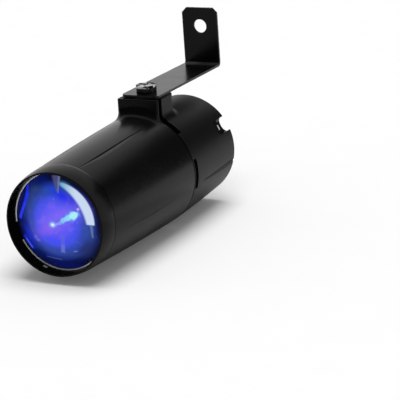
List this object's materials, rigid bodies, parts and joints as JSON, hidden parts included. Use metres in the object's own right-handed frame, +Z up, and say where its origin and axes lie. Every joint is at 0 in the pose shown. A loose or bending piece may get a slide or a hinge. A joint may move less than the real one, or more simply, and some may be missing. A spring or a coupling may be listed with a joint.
{
  "type": "pinspot light",
  "caption": "Small tubular pinspot light with a domed lens, a vented rear cap and a flat L-shaped hanging bracket on a swivel bolt.",
  "frame": {"origin": "centre of the hanging hole, on the rear face of the bracket's leg", "axes": "+Y along the beam axis towards the rear of the light, +Z up from the lamp body to the bracket, +X to the right seen from the front looking along +Y"},
  "size_m": [0.0668, 0.1964, 0.1131],
  "materials": {
    "housing_black": "satin moulded black",
    "bracket_black": "satin black powder coat",
    "bolt_black": "glossy black",
    "bright_steel": "bright drawn wire",
    "plated_steel": "zinc plated",
    "lens_glass": "clear, lit blue from inside",
    "clear_optic": "clear moulded optic",
    "seal_rubber": "matt",
    "inner_black": "matt black",
    "heatsink_aluminium": "extruded",
    "led_board_white": "white solder mask",
    "led_lit": "clear dome over the lit chip",
    "lead_red": "insulated lead",
    "circuit_board": "green solder mask",
    "insulation": "thin sheet",
    "ferrite": "sintered core",
    "capacitor_sleeve": "shrunk sleeve",
    "moulded_case": "moulded case",
    "fuse_glass": "clear tube with metal caps",
    "terminal_green": "moulded",
    "gland_nylon": "moulded nylon",
    "washer_fibre": "fibre",
    "sheet_steel": "folded sheet"
  },
  "bodies": {
    "bracket": {"bracket": "bracket_black"},
    "lamp": {"friction_washer": "washer_fibre", "clamp_nut": "plated_steel", "front_bezel": "housing_black", "lens_retaining_ring": "bright_steel", "front_lens": "lens_glass", "lens_gasket": "seal_rubber", "front_housing": "housing_black", "glare_tube": "inner_black", "collimator_holder": "inner_black", "collimator_lens": "clear_optic", "led_emitter": "led_lit", "led_board": "led_board_white", "led_board_screws": "plated_steel", "led_leads": "lead_red", "heatsink": "heatsink_aluminium", "heatsink_screws": "plated_steel", "rear_housing": "housing_black", "housing_screws": "plated_steel", "rear_plate": "housing_black", "rear_plate_screws": "bolt_black", "cable_gland": "gland_nylon", "gland_nut": "gland_nylon", "driver_tray": "sheet_steel", "tray_screws": "bolt_black", "insulation_sheet": "insulation", "board_standoffs": "plated_steel", "driver_board": "circuit_board", "driver_board_screws": "plated_steel", "transformer": "ferrite", "input_capacitor": "capacitor_sleeve", "output_capacitors": "capacitor_sleeve", "choke": "ferrite", "bridge_rectifier": "moulded_case", "fuse_link": "fuse_glass", "switching_transistor": "moulded_case", "terminal_block": "terminal_green"},
    "clamp_bolt": {"clamp_bolt": "bolt_black"}
  },
  "joints": [
    {"name": "bracket_swivel", "type": "hinge", "parent": "bracket", "child": "lamp", "pos_m": [0, -0.07915, -0.02478], "axis": [0, 0, 1], "continuous": true},
    {"name": "clamp_bolt_turn", "type": "hinge", "parent": "lamp", "child": "clamp_bolt", "pos_m": [0, -0.07915, -0.02338], "axis": [0, 0, 1], "range_deg": [0, 180]}
  ]
}
